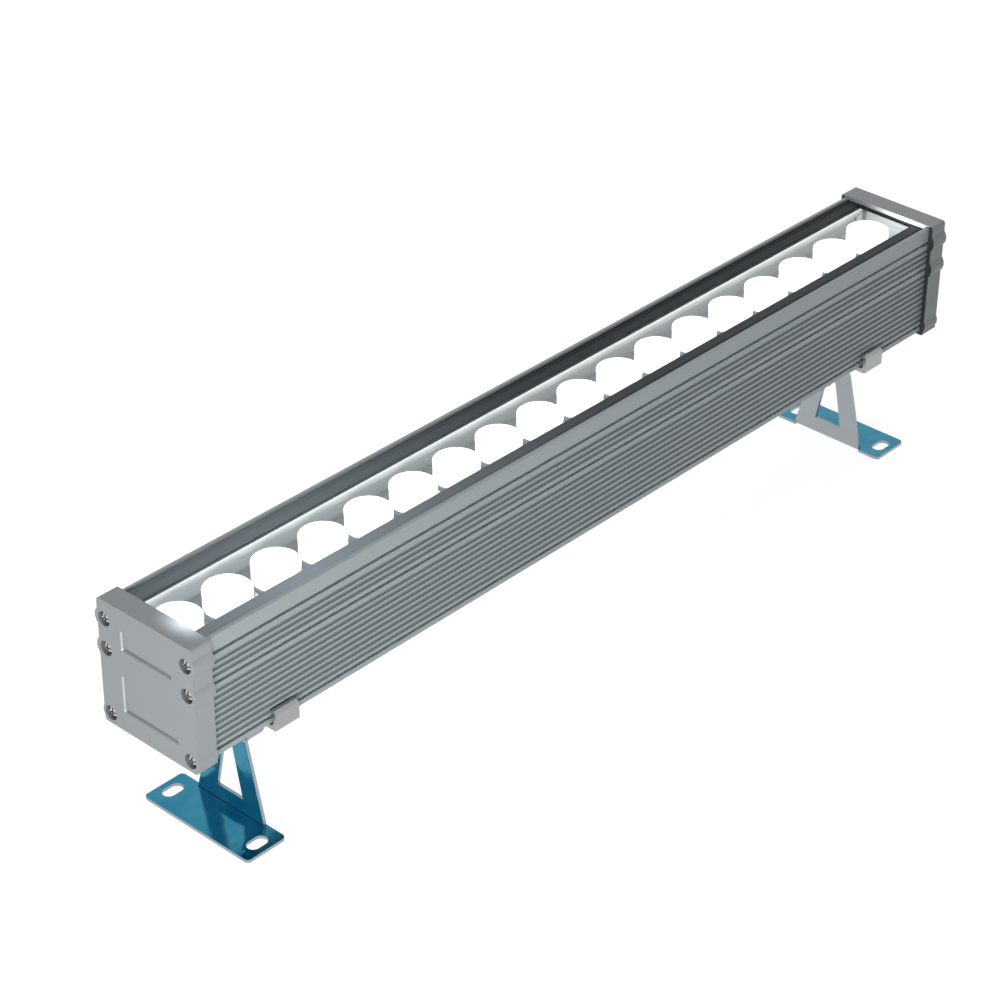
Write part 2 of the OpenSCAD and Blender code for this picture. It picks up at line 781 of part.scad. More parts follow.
module bolt() {
    translate([0, 0, bolt_z - bolt_head]) hex(bolt_flats, bolt_head);
    translate([0, 0, bolt_z - 0.5]) cylinder(r = bolt_r, h = bolt_l + 0.5);
}

module bolt_left() color([0.72, 0.72, 0.7]) at_left() bolt();
module bolt_right() color([0.72, 0.72, 0.7]) at_right() bolt();

// Ring on the bolt: z of its underside, thickness and radius
module ring(z, t, r) {
    translate([0, 0, z]) difference() {
        cylinder(r = r, h = t);
        translate([0, 0, -cut]) cylinder(r = bolt_r + bolt_clear, h = t + 2 * cut);
    }
}

module washers() {
    ring(bracket_h - sheet_t - washer_t, washer_t, washer_r);
    difference() {
        ring(bolt_z, spring_t, washer_r - 0.6);
        translate([0, -0.5, bolt_z - cut]) cube([washer_r, 1, spring_t + 2 * cut]);
    }
}

module washers_left() color([0.74, 0.74, 0.72]) at_left() washers();
module washers_right() color([0.74, 0.74, 0.72]) at_right() washers();

// Outline of the upright between its two bends, and its window, as Y and Z
module upright_face() {
    high = bracket_h - bend_out;
    window_top = bracket_h - window_drop;
    difference() {
        polygon([[-upright_w / 2, bend_out], [upright_w / 2, bend_out], [tab_w / 2, high],
            [-tab_w / 2, high]]);
        polygon([[-window_low / 2, window_z], [window_low / 2, window_z],
            [window_high / 2, window_top], [-window_high / 2, window_top]]);
    }
}

// Outline of the foot, with its slots, less the strip that the bend takes
module foot_face() {
    difference() {
        translate([slot_x, 0]) rounded_bar(foot_l, -foot_w / 2, foot_w / 2, foot_corner);
        for (y = [-slot_y, slot_y]) translate([slot_x, y]) slot(slot_l, slot_w);
        translate([-bolt_in - bend_out, -upright_w / 2]) square([bend_out + cut, upright_w]);
    }
}

// Quarter of a ring between two radii, about the origin, towards +X and -Y
module bend_face(r0, r1) {
    intersection() {
        difference() {
            circle(r1);
            circle(r0);
        }
        translate([0, -r1]) square(r1);
    }
}

// A bend of the given width about an axis along Y at (x, z)
module bend(x, z, w, turn, r0, r1) {
    translate([x, w / 2, z]) rotate([90, 0, 0]) linear_extrude(w) {
        rotate(turn) bend_face(r0, r1);
    }
}

// Tab over the bend, with two rounded corners and the bolt's hole
module tab_face() {
    l = bolt_in - bend_r + tab_end;
    difference() {
        translate([tab_end - l, -tab_w / 2]) square([l, tab_w]);
        for (s = [-1, 1]) difference() {
            translate([tab_end - tab_corner / 2, s * (tab_w - tab_corner) / 2]) {
                square(tab_corner + 0.001, center = true);
            }
            translate([tab_end - tab_corner, s * (tab_w / 2 - tab_corner)]) circle(tab_corner);
        }
        circle(bolt_r + bolt_clear);
    }
}

module bracket() {
    linear_extrude(sheet_t) foot_face();
    bend(upright_x - bend_r, bend_out, upright_w, 0, bend_r, bend_out);
    along_x(upright_x, sheet_t) upright_face();
    bend(-bolt_in + bend_r, bracket_h - bend_out, tab_w, 180, bend_r, bend_out);
    translate([0, 0, bracket_h - sheet_t]) linear_extrude(sheet_t) tab_face();
}

module bracket_left() color([0.72, 0.72, 0.71]) at_left() bracket();
module bracket_right() color([0.68, 0.68, 0.66]) at_right() bracket();

// Film on the foot's top, in the lower bend and up the face over the foot
module film() {
    translate([0, 0, sheet_t]) linear_extrude(film_t) foot_face();
    bend(upright_x - bend_r, bend_out, upright_w, 0, bend_r - film_t, bend_r);
    along_x(upright_x - film_t, film_t) upright_face();
}

module film_left() color([0.16, 0.52, 0.64]) at_left() film();
module film_right() color([0.16, 0.52, 0.64]) at_right() film();

housing();
end_cap_left();
end_cap_right();
end_gasket_left();
end_gasket_right();
cap_screws_left();
cap_screws_right();
cover_glass();
glazing_strip_front();
glazing_strip_back();
end_seal_left();
end_seal_right();
led_board();
led_chips();
lens_holders();
lenses();
board_screws();
driver_case();
driver_end_plates();
driver_board();
driver_pad();
terminal_block();
input_leads();
output_leads();
gland_body();
gland_nut();
gland_seal();
gland_o_ring();
gland_locknut();
clamp_left();
clamp_right();
bolt_left();
bolt_right();
washers_left();
washers_right();
bracket_left();
bracket_right();
film_left();
film_right();
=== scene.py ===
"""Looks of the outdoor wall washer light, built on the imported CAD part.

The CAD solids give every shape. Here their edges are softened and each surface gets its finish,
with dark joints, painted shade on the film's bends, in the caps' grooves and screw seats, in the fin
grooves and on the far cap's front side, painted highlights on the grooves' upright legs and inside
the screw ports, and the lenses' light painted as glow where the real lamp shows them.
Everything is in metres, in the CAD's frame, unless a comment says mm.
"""
import json
import math

import bmesh
import bpy
from mathutils import Matrix, Vector

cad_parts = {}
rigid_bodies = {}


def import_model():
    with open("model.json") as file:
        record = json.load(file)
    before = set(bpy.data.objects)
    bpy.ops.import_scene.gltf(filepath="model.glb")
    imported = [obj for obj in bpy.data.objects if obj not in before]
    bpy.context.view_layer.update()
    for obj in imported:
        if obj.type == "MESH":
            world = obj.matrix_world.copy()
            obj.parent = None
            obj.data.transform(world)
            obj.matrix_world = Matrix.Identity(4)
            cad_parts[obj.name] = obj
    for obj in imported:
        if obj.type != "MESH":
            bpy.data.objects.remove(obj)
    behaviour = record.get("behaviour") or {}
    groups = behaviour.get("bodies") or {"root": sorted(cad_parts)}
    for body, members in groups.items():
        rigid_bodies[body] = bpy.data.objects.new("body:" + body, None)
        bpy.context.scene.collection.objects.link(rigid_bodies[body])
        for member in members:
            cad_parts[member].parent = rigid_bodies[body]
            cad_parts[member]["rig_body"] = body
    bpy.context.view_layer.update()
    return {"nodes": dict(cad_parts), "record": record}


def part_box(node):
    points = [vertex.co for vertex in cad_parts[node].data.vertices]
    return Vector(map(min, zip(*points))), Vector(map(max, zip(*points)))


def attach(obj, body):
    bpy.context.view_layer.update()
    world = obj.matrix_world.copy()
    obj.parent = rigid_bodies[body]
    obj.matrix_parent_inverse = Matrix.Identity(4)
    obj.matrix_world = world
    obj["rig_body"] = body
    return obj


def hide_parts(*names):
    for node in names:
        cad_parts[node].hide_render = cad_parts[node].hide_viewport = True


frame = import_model()
MM = 0.001


# node helpers


class Tree:
    """Short calls for building a node tree."""

    def __init__(self, tree):
        self.tree = tree

    def add(self, kind, inputs=None, **settings):
        node = self.tree.nodes.new(kind)
        for name, value in settings.items():
            setattr(node, name, value)
        for key, value in (inputs or {}).items():
            self.put(node.inputs[key], value)
        return node

    def put(self, socket, value):
        if isinstance(value, bpy.types.NodeSocket):
            self.tree.links.new(value, socket)
        else:
            socket.default_value = value

    def math(self, operation, a, b=0.0, clamp=False):
        node = self.add("ShaderNodeMath", operation=operation, use_clamp=clamp)
        self.put(node.inputs[0], a)
        self.put(node.inputs[1], b)
        return node.outputs[0]

    def mix(self, factor, a, b, blend="MIX"):
        node = self.add("ShaderNodeMix", data_type="RGBA", blend_type=blend)
        self.put(node.inputs["Factor"], factor)
        self.put(node.inputs["A"], a)
        self.put(node.inputs["B"], b)
        return node.outputs["Result"]

    def ramp(self, value, low, high, to_low=0.0, to_high=1.0):
        node = self.add("ShaderNodeMapRange")
        for key, item in zip(("Value", "From Min", "From Max", "To Min", "To Max"),
                             (value, low, high, to_low, to_high)):
            self.put(node.inputs[key], item)
        return node.outputs[0]


def new_group(name, inputs, outputs):
    """An empty shader group with the given (name, type, default) sockets."""
    group = bpy.data.node_groups.new(name, "ShaderNodeTree")
    for key, kind, value in inputs:
        socket = group.interface.new_socket(key, in_out="INPUT", socket_type=kind)
        if value is not None:
            socket.default_value = value
    for key, kind in outputs:
        group.interface.new_socket(key, in_out="OUTPUT", socket_type=kind)
    tree = Tree(group)
    return group, tree, tree.add("NodeGroupInput").outputs, tree.add("NodeGroupOutput").inputs


FLOAT, VECTOR = "NodeSocketFloat", "NodeSocketVector"


def make_grain_group():
    """Fine cast or moulded grain: a normal, and a colour and a roughness factor round 1."""
    group, t, i, o = new_group(
        "Grain",
        [("Scale", FLOAT, 1500.0), ("Depth", FLOAT, 0.00003), ("Mottle", FLOAT, 0.05),
         ("Stretch", VECTOR, (1.0, 1.0, 1.0))],
        [("Normal", VECTOR), ("Colour factor", FLOAT), ("Roughness factor", FLOAT)])
    place = t.add("ShaderNodeTexCoord").outputs["Object"]
    stretched = t.add("ShaderNodeVectorMath", {0: place, 1: i["Stretch"]}, operation="MULTIPLY").outputs[0]
    fine = t.add("ShaderNodeTexNoise", {"Vector": stretched, "Scale": i["Scale"], "Detail": 3.0,
                                        "Roughness": 0.6}).outputs["Fac"]
    broad_scale = t.math("MULTIPLY", i["Scale"], 0.04)
    broad = t.add("ShaderNodeTexNoise", {"Vector": stretched, "Scale": broad_scale, "Detail": 4.0,
                                         "Roughness": 0.55}).outputs["Fac"]
    bump = t.add("ShaderNodeBump", {"Strength": 1.0, "Distance": i["Depth"], "Height": fine})
    t.put(o["Normal"], bump.outputs[0])
    swing = t.math("MULTIPLY", t.math("SUBTRACT", broad, 0.5), i["Mottle"])
    t.put(o["Colour factor"], t.math("ADD", 1.0, t.math("MULTIPLY", swing, 2.0)))
    fine_swing = t.math("MULTIPLY", t.math("SUBTRACT", fine, 0.5), 0.35)
    broad_swing = t.math("MULTIPLY", swing, 2.5)
    t.put(o["Roughness factor"], t.math("ADD", t.math("ADD", 1.0, fine_swing), broad_swing))
    return group


def make_streak_group():
    """Die lines of an extrusion, or the rolling lines of sheet: long along one axis, fine across."""
    group, t, i, o = new_group(
        "Streaks",
        [("Along", VECTOR, (0.01, 1.0, 1.0)), ("Scale", FLOAT, 2500.0), ("Depth", FLOAT, 0.00001),
         ("Contrast", FLOAT, 0.08)],
        [("Normal", VECTOR), ("Colour factor", FLOAT), ("Roughness factor", FLOAT)])
    place = t.add("ShaderNodeTexCoord").outputs["Object"]
    lines = t.add("ShaderNodeVectorMath", {0: place, 1: i["Along"]}, operation="MULTIPLY").outputs[0]
    fine = t.add("ShaderNodeTexNoise", {"Vector": lines, "Scale": i["Scale"], "Detail": 4.0,
                                        "Roughness": 0.7}).outputs["Fac"]
    wide_scale = t.math("MULTIPLY", i["Scale"], 0.12)
    wide = t.add("ShaderNodeTexNoise", {"Vector": lines, "Scale": wide_scale, "Detail": 2.0}).outputs["Fac"]
    both = t.math("ADD", t.math("MULTIPLY", fine, 0.6), t.math("MULTIPLY", wide, 0.4))
    bump = t.add("ShaderNodeBump", {"Strength": 1.0, "Distance": i["Depth"], "Height": fine})
    t.put(o["Normal"], bump.outputs[0])
    swing = t.math("MULTIPLY", t.math("SUBTRACT", both, 0.5), i["Contrast"])
    t.put(o["Colour factor"], t.math("ADD", 1.0, t.math("MULTIPLY", swing, 2.0)))
    t.put(o["Roughness factor"], t.math("SUBTRACT", 1.0, t.math("MULTIPLY", swing, 3.0)))
    return group


def make_spill_group():
    """How much light spills on a point: 1 at a centre, falling smoothly to 0 at a reach along each axis."""
    group, t, i, o = new_group(
        "Spill", [("Centre", VECTOR, (0.0, 0.0, 0.0)), ("Reach", VECTOR, (1.0, 1.0, 1.0))], [("Mask", FLOAT)])
    place = t.add("ShaderNodeTexCoord").outputs["Object"]
    offset = t.add("ShaderNodeVectorMath", {0: place, 1: i["Centre"]}, operation="SUBTRACT").outputs[0]
    scaled = t.add("ShaderNodeVectorMath", {0: offset, 1: i["Reach"]}, operation="DIVIDE").outputs[0]
    far = t.add("ShaderNodeVectorMath", {0: scaled}, operation="LENGTH").outputs["Value"]
    near = t.math("SUBTRACT", 1.0, far, clamp=True)
    t.put(o["Mask"], t.math("MULTIPLY", near, near))
    return group


GRAIN = make_grain_group()
STREAKS = make_streak_group()
SPILL = make_spill_group()


def new_material(name):
    """A material with an empty node tree: the material, its tree and the output's Surface socket."""
    material = bpy.data.materials.new(name)
    material.use_nodes = True
    material.node_tree.nodes.clear()
    tree = Tree(material.node_tree)
    return material, tree, tree.add("ShaderNodeOutputMaterial").inputs["Surface"]


def use(t, group, **values):
    """Adds a group with the given inputs, where an underscore stands for a space, and returns its outputs."""
    node = t.add("ShaderNodeGroup", node_tree=group)
    for key, value in values.items():
        t.put(node.inputs[key.replace("_", " ")], value)
    return node.outputs


# tints of the lenses' light: bluish on most pieces, nearly white on the ledges and at the far end

LENS_LIGHT = (0.76, 0.9, 1.0)
COOL_LIGHT = (0.93, 1.0, 1.0)
LEDGE_LIGHT = (0.97, 1.0, 0.98)
WARM_LIGHT = (1.0, 1.0, 0.96)
UNLIT = (0.0, 0.0, 0.0, 1.0)


def coated(name, color, roughness, effect, metallic=0.0, glow=(), light=LENS_LIGHT, **sockets):
    """A Principled material whose colour, roughness and normal are varied by an effect's outputs.

    Each row of glow is the centre and reach in mm, and the strength, of light painted on it as glow.
    """
    material, t, surface = new_material(name)
    outputs = effect(t)
    tone = t.mix(1.0, (*color, 1.0), outputs["Colour factor"], "MULTIPLY")
    rough = t.math("MULTIPLY", outputs["Roughness factor"], roughness, clamp=True)
    shader = t.add("ShaderNodeBsdfPrincipled",
                   {"Base Color": tone, "Roughness": rough, "Normal": outputs["Normal"]})
    shader.inputs["Metallic"].default_value = metallic
    for key, value in sockets.items():
        shader.inputs[key.replace("_", " ")].default_value = value
    total = 0.0
    for centre, reach, strength in glow:
        mask = use(t, SPILL, Centre=Vector(centre) * MM, Reach=Vector(reach) * MM)["Mask"]
        total = t.math("ADD", total, t.math("MULTIPLY", mask, strength))
    if glow:
        full = sum(strength for centre, reach, strength in glow)
        share = t.math("DIVIDE", total, full)
        t.put(shader.inputs["Emission Color"], t.mix(share, UNLIT, (*light, 1.0)))
        shader.inputs["Emission Strength"].default_value = full
    t.put(surface, shader.outputs[0])
    material.diffuse_color = (*color, 1.0)
    return material


def grain(scale, depth, mottle, stretch=(1.0, 1.0, 1.0)):
    """An effect for coated that adds the grain."""
    return lambda t: use(t, GRAIN, Scale=scale, Depth=depth, Mottle=mottle, Stretch=stretch)


def streaks(along=(0.01, 1.0, 1.0), scale=2500.0, depth=0.00001, contrast=0.08):
    """An effect for coated that adds the streaks."""
    return lambda t: use(t, STREAKS, Along=along, Scale=scale, Depth=depth, Contrast=contrast)


# places on the lamp, in mm

NEAR_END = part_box("end_cap_left")[1][0] / MM
FAR_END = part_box("end_cap_right")[0][0] / MM
GLASS_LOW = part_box("cover_glass")[0][2] / MM
GLASS_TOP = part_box("cover_glass")[1][2] / MM
CAP_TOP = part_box("end_cap_left")[1][2] / MM
BOARD_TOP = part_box("led_board")[1][2] / MM
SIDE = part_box("housing")[1][1] / MM
HOUSING_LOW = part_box("housing")[0][2] / MM
HOUSING_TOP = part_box("housing")[1][2] / MM
NEAR_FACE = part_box("end_cap_left")[0][0] / MM
FAR_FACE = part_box("end_cap_right")[1][0] / MM
CAP_FACE_DEPTH = 3
CAP_WRAP = 5
JOINT_DEPTH = 0.7
PORT_Y = SIDE - 1.7
PORT_HEIGHTS = [HOUSING_LOW + 3.5, HOUSING_LOW + 35.6, HOUSING_TOP - 8]
PORT_FRONT = SIDE - 0.1
PORT_BACK = SIDE - 3.6
PORT_HALF_WIDTH = 1.9
SEAT_RADIUS = math.sqrt(15.0)
FIN_TOP = CAP_TOP - 10
FIN_FRONT = SIDE - 0.2
FIN_BACK = SIDE - 2
LEDGE_Y = 16.4
LEDGE_LOW = GLASS_LOW - 4
LEDGE_TOP = GLASS_LOW + 0.1
RECESS_Y = 20.3
RECESS_LOW = BOARD_TOP - 1
WINDOW_HALF_WIDTH = 20
LIP_HALF_WIDTH = 23
LIP_LOW = GLASS_TOP + 0.8
END_WALL_X = FAR_END + 2
END_WALL_TOP = GLASS_LOW + 1
GASKET_LOW = HOUSING_LOW + 4
HOLDER_DARK = BOARD_TOP + 2.9
HOLDER_LIT = BOARD_TOP + 3.6
EVERYWHERE = 10000.0


# materials


def glass_material():
    """Clear glass that lets light through to what lies under it."""
    material, t, surface = new_material("Cover glass")
    glass = t.add("ShaderNodeBsdfPrincipled", {"Base Color": (0.96, 0.985, 0.975, 1.0),
                                               "Roughness": 0.0, "IOR": 1.45})
    glass.inputs["Transmission Weight"].default_value = 1.0
    clear = t.add("ShaderNodeBsdfTransparent", {"Color": (0.93, 0.95, 0.94, 1.0)})
    path = t.add("ShaderNodeLightPath").outputs
    passing = t.math("MAXIMUM", path["Is Shadow Ray"], path["Is Diffuse Ray"])
    mixed = t.add("ShaderNodeMixShader", {0: passing, 1: glass.outputs[0], 2: clear.outputs[0]})
    t.put(surface, mixed.outputs[0])
    material.diffuse_color = (0.9, 0.95, 0.95, 0.3)
    return material


def film_material():
    """Thin blue film over bare metal: a tinted mirror with slight waves and a few wrinkles."""
    dark = (0.006, 0.2, 0.33, 1.0)
    pale = (0.03, 0.255, 0.37, 1.0)
    material, t, surface = new_material("Blue film")
    place = t.add("ShaderNodeTexCoord").outputs["Object"]
    waves = t.add("ShaderNodeTexNoise", {"Vector": place, "Scale": 70.0, "Detail": 2.0,
                                         "Distortion": 0.6}).outputs["Fac"]
    specks = t.add("ShaderNodeTexNoise", {"Vector": place, "Scale": 900.0, "Detail": 2.0}).outputs["Fac"]
    folds = t.add("ShaderNodeTexNoise", {"Vector": place, "Scale": 24.0, "Detail": 2.0,
                                         "Distortion": 1.2}).outputs["Fac"]
    off_fold = t.math("ABSOLUTE", t.math("SUBTRACT", folds, 0.56))
    wrinkle = t.ramp(off_fold, 0.0, 0.008, 1.0, 0.0)
    height = t.math("ADD", waves, t.math("MULTIPLY", specks, 0.004))
    height = t.math("ADD", height, t.math("MULTIPLY", wrinkle, 0.2))
    bump = t.add("ShaderNodeBump", {"Strength": 1.0, "Distance": 0.00025, "Height": height}).outputs[0]
    tone = t.mix(t.ramp(waves, 0.35, 0.7), dark, pale)
    rough = t.ramp(specks, 0.3, 0.8, 0.1, 0.2)
    shader = t.add("ShaderNodeBsdfPrincipled", {"Base Color": tone, "Roughness": rough, "Normal": bump})
    shader.inputs["Metallic"].default_value = 0.8
    shader.inputs["Coat Weight"].default_value = 0.15
    shader.inputs["Coat Roughness"].default_value = 0.06
    t.put(surface, shader.outputs[0])
    material.diffuse_color = pale
    return material


def lit_material(name, color, strength, roughness=0.15, low=None, high=None):
    """A piece that glows. Below the height low, in mm, it stays grey, and above high it glows fully."""
    grey = (0.27, 0.3, 0.33, 1.0)
    material, t, surface = new_material(name)
    shader = t.add("ShaderNodeBsdfPrincipled", {"Base Color": (*color, 1.0), "Roughness": roughness})
    shader.inputs["Emission Color"].default_value = (*color, 1.0)
    shader.inputs["Emission Strength"].default_value = strength
    if low is not None:
        place = t.add("ShaderNodeTexCoord").outputs["Object"]
        height = t.add("ShaderNodeSeparateXYZ", {0: place}).outputs["Z"]
        lit = t.ramp(height, low * MM, high * MM)
        t.put(shader.inputs["Emission Color"], t.mix(lit, UNLIT, (*color, 1.0)))
        t.put(shader.inputs["Base Color"], t.mix(lit, grey, (*color, 1.0)))
    t.put(surface, shader.outputs[0])
    material.diffuse_color = (*color, 1.0)
    return material


WHITE = (1.0, 1.0, 1.0)
die_lines = streaks(contrast=0.06)
cap_grain = grain(2600.0, 0.00002, 0.03)
painted_mark_grain = grain(2600.0, 0.00002, 0.1)
strip_grain = grain(1800.0, 0.000006, 0.12, (0.1, 1, 1))
saw_lines = streaks((1, 0.02, 1), 1800.0, 0.00002, 0.1)
roll_lines = streaks((1, 0.02, 1), 1500.0, 0.00001, 0.1)
# the lenses' light painted as glow: on the near cap's top by the first lens, along the black strips and on
# the board at the far end
cap_spill = [((NEAR_END, -12, CAP_TOP), (10, 17, 9), 1.05)]
strip_spill = [((NEAR_END + 60, -22, GLASS_TOP), (230, 140, EVERYWHERE), 0.28),
               ((0, -40, GLASS_TOP), (EVERYWHERE, 50, EVERYWHERE), 0.04)]
board_spill = [((FAR_END, 0, BOARD_TOP), (16, 60, 30), 2.2)]

M = {
    "housing": coated("Anodised extrusion", (0.385, 0.42, 0.425), 0.4, die_lines, 0.05,
                      Specular_IOR_Level=0.35),
    "cap": coated("Satin cap paint with painted glow", (0.33, 0.345, 0.355), 0.45, cap_grain, 0.05, glow=cap_spill,
                  Specular_IOR_Level=0.35),
    "screw": coated("Stainless steel", (0.5, 0.51, 0.5), 0.13, grain(3000.0, 0.000004, 0.06), 1.0),
    "rubber": coated("Black rubber", (0.01, 0.011, 0.012), 0.6, grain(2200.0, 0.00002, 0.05),
                     Specular_IOR_Level=0.25),
    "strip": coated("Black strip with painted glow", (0.014, 0.019, 0.022), 0.5, strip_grain, glow=strip_spill,
                    Specular_IOR_Level=0.2),
    "board": coated("Grey board with painted glow", (0.215, 0.25, 0.285), 0.4, grain(900.0, 0.000006, 0.05),
                    glow=board_spill, light=COOL_LIGHT),
    "holder": lit_material("Lit holder", WHITE, 1.1, 0.5, HOLDER_DARK, HOLDER_LIT),
    "driver": coated("Driver case", (0.6, 0.61, 0.62), 0.4, streaks(), 1.0),
    "black_plastic": coated("Black nylon", (0.022, 0.022, 0.023), 0.42, grain(2400.0, 0.00003, 0.06)),
    "circuit": coated("Circuit board", (0.03, 0.13, 0.06), 0.4, grain(800.0, 0.00001, 0.1)),
    "pad": coated("Thermal pad", (0.3, 0.33, 0.37), 0.8, grain(1200.0, 0.00004, 0.05)),
    "white_plastic": coated("White nylon", (0.72, 0.71, 0.67), 0.45, grain(1500.0, 0.00002, 0.04)),
    "lead": coated("Red lead", (0.34, 0.03, 0.02), 0.5, grain(1500.0, 0.00001, 0.05)),
    "clamp": coated("Sawn aluminium", (0.38, 0.395, 0.4), 0.38, saw_lines, 0.9),
    "bracket": coated("Bare sheet", (0.35, 0.38, 0.395), 0.36, roll_lines, 0.95),
    "film": film_material(),
    "glass": glass_material(),
    "lens": lit_material("Lit lens", WHITE, 1.8),
    "chip": lit_material("Lit chip", (1.0, 0.98, 0.9), 6.0),
}
SLOT_OF = {row["node"]: row["material_slot"] for row in frame["record"]["subparts"]}
BODY_OF = {node: obj["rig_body"] for node, obj in frame["nodes"].items()}


# softened copies of CAD nodes

# points nearer than SAME_POINT are joined, faces that turn less than FLAT are merged, edges that
# turn more than SHARP are shaded sharp, and edges that turn more than CORNER are rounded
SAME_POINT = 1e-7
FLAT = math.radians(0.6)
SHARP = math.radians(32)
CORNER = math.radians(35)


def dress(obj, material):
    """Makes a material the object's only one."""
    obj.data.materials.clear()
    obj.data.materials.append(material)


def clean_mesh(mesh):
    """Joins the triangles of flat faces, so that edges can be rounded."""
    bm = bmesh.new()
    bm.from_mesh(mesh)
    bmesh.ops.remove_doubles(bm, verts=bm.verts, dist=SAME_POINT)
    bmesh.ops.dissolve_limit(bm, angle_limit=FLAT, use_dissolve_boundaries=False, verts=bm.verts,
                             edges=bm.edges)
    bm.to_mesh(mesh)
    bm.free()


def soften(node, width, segments=2):
    """A copy of a CAD node with its corners rounded by a width in mm, which stands for the node."""
    mesh = frame["nodes"][node].data.copy()
    mesh.name = f"{node}_mesh"
    obj = bpy.data.objects.new(f"{node}_finished", mesh)
    bpy.context.scene.collection.objects.link(obj)
    clean_mesh(mesh)
    mesh.polygons.foreach_set("use_smooth", [True] * len(mesh.polygons))
    mesh.set_sharp_from_angle(angle=SHARP)
    corners = obj.modifiers.new("Corners", "BEVEL")
    corners.width = width * MM
    corners.segments = segments
    corners.use_clamp_overlap = True
    corners.miter_outer = "MITER_ARC"
    corners.limit_method = "ANGLE"
    corners.angle_limit = CORNER
    normals = obj.modifiers.new("Normals", "WEIGHTED_NORMAL")
    normals.keep_sharp = True
    normals.weight = 90
    bpy.context.view_layer.update()
    evaluated = obj.evaluated_get(bpy.context.evaluated_depsgraph_get())
    finished = bpy.data.meshes.new_from_object(evaluated)
    obj.modifiers.clear()
    obj.data = finished
    dress(obj, M[SLOT_OF[node]])
    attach(obj, BODY_OF[node])
    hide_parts(node)
    return obj


# a face looks along an axis when its normal's share of it is over FACING, and runs along the lamp
# when its normal's share of x is under RUNNING
FACING = 0.7
RUNNING = 0.5


def paint_faces(obj, material, test):
    """Gives the faces that pass a test on their centre, in mm, and normal another material."""
    index = len(obj.data.materials)
    obj.data.materials.append(material)
    for face in obj.data.polygons:
        if test(face.center / MM, face.normal):
            face.material_index = index


for name, node in frame["nodes"].items():
    dress(node, M[SLOT_OF[name]])

housing = soften("housing", 0.14)
cap_left = soften("end_cap_left", 0.6, 3)
cap_right = soften("end_cap_right", 0.6, 3)
for name in ("bracket_left", "bracket_right", "clamp_left", "clamp_right"):
    soften(name, 0.18)
for name in ("bolt_left", "bolt_right", "washers_left", "washers_right", "gland_body", "gland_nut",
             "gland_seal", "lens_holders"):
    soften(name, 0.2)
films = [soften(name, 0.02, 1) for name in ("film_left", "film_right")]
for name in ("glazing_strip_front", "glazing_strip_back", "end_seal_left", "end_seal_right"):
    soften(name, 0.08)
for name in ("cap_screws_left", "cap_screws_right", "board_screws"):
    soften(name, 0.08, 1)
gasket = soften("end_gasket_right", 0.05, 1)


# the bend between foot and upright, painted dark and hardly reflecting as shade along the film's crease

film_bend_shade = coated("Film bend painted shade", (0.003, 0.04, 0.1), 0.6, grain(900.0, 0.00003, 0.1),
                Specular_IOR_Level=0.05)
for film in films:
    paint_faces(film, film_bend_shade, lambda p, n: 0.3 < n.z < 0.97)


# the angled grooves in the caps' faces: level legs painted dark as shade, the upright legs' walls
# that face the key light painted bright as a highlight, and the walls of the screw seats painted dark as
# shade

# in mm: height of the level leg over the housing's underside, y of the corner and of the leg's end,
# and length of the upright leg
GROOVES = [(9.3, 14.2, -15.8, 16.0), (40.1, 13.2, -13.9, 7.5)]
GROOVE_HALF_WIDTH = 1.35
GROOVE_PAST = 1.3
groove_shade = coated("Groove painted shade", (0.185, 0.19, 0.195), 0.6, painted_mark_grain)
groove_highlight = coated("Groove painted highlight", (0.48, 0.5, 0.52), 0.35, painted_mark_grain, 0.3)
seat_shade = coated("Screw seats painted shade", (0.15, 0.155, 0.155), 0.6, painted_mark_grain)


def on_face(x):
    """True for a place along the lamp that is in the outer face of either cap."""
    return x < NEAR_FACE + CAP_FACE_DEPTH or x > FAR_FACE - CAP_FACE_DEPTH


def near_screw(p):
    """True within a screw seat's radius of a screw's centre line."""
    return min(math.hypot(abs(p.y) - PORT_Y, p.z - z) for z in PORT_HEIGHTS) < SEAT_RADIUS


for cap in (cap_left, cap_right):
    for over, corner, end, length in GROOVES:
        low = HOUSING_LOW + over
        high = low + length
        paint_faces(cap, groove_shade, lambda p, n: on_face(p.x) and abs(p.z - low) < GROOVE_HALF_WIDTH
                    and end - GROOVE_PAST < p.y < corner - 1 and n.z < 0.6 and abs(n.x) < 0.9999)
        paint_faces(cap, groove_highlight, lambda p, n: on_face(p.x) and abs(p.y - corner) < GROOVE_HALF_WIDTH
                    and low - GROOVE_PAST < p.z < high + GROOVE_PAST and n.y < -0.5)
    paint_faces(cap, seat_shade, lambda p, n: on_face(p.x) and abs(n.x) < 0.9 and near_screw(p))


# the far cap's front side, painted darker as shade because it gets less light

far_cap_side_shade = coated("Far cap side painted shade", (0.26, 0.275, 0.275), 0.45, cap_grain, 0.05,
                  Specular_IOR_Level=0.3)
paint_faces(cap_right, far_cap_side_shade, lambda p, n: n.y < -FACING and p.y < 0 and p.x > FAR_END - CAP_WRAP)


# the fins: their faces a little darker than the smooth bands, their grooves painted darker as shade,
# and the insides of the screw ports between them painted lighter as light

